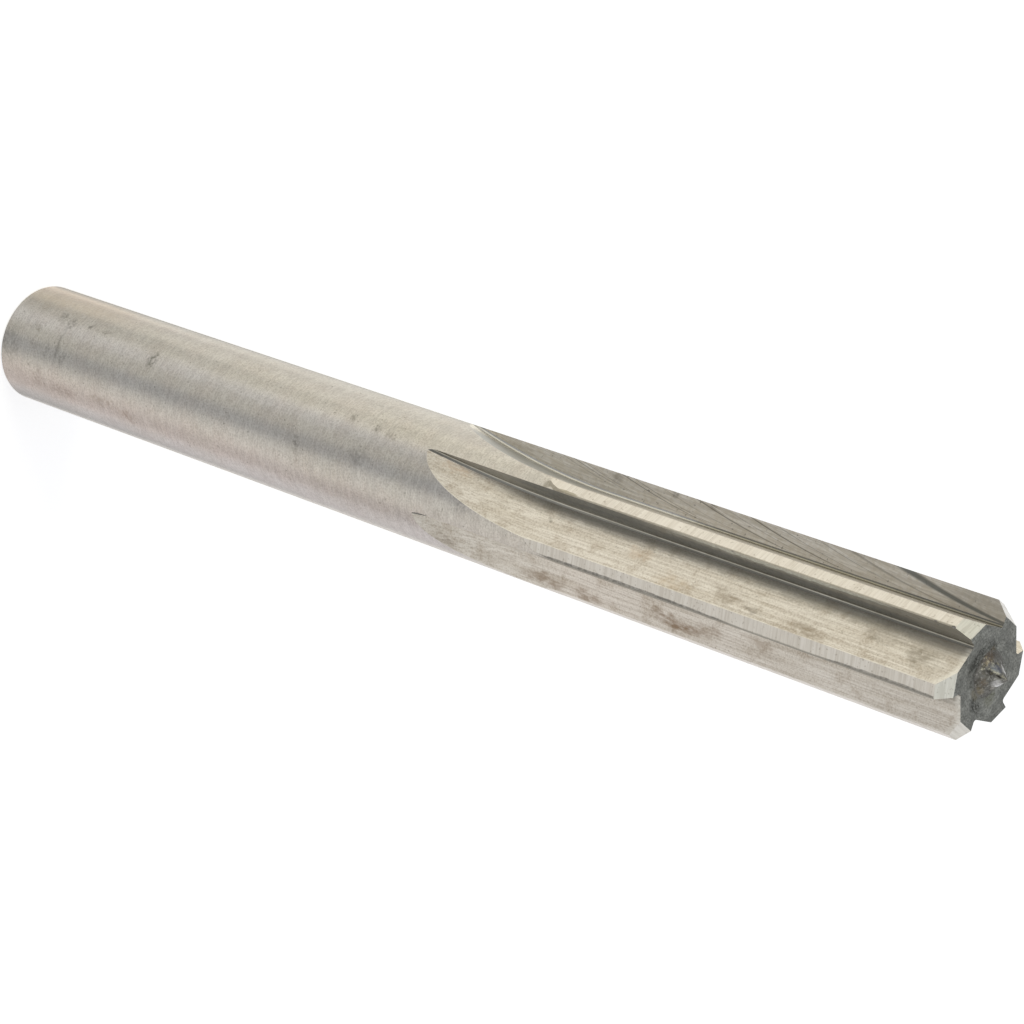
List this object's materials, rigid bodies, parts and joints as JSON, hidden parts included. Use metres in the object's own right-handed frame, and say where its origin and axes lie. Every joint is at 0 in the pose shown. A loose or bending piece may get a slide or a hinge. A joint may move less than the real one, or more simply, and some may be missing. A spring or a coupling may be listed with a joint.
{
  "type": "machine reamer",
  "caption": "Straight-fluted machine reamer with a plain round shank, ground relieved lands, a bevel lead on each tooth and a male centre on its flat nose, for sizing a drilled hole.",
  "frame": {"origin": "centre of the flat shank end, on the tool's axis", "axes": "+Z along the tool's axis from the shank to the nose, +X through the cutting edge of one tooth"},
  "size_m": [0.0096, 0.0096, 0.0953],
  "materials": {
    "tool_steel": "bright ground tool steel, matt with use, with light brown stains in the flutes"
  },
  "bodies": {
    "root": {"reamer": "tool_steel"}
  },
  "joints": []
}
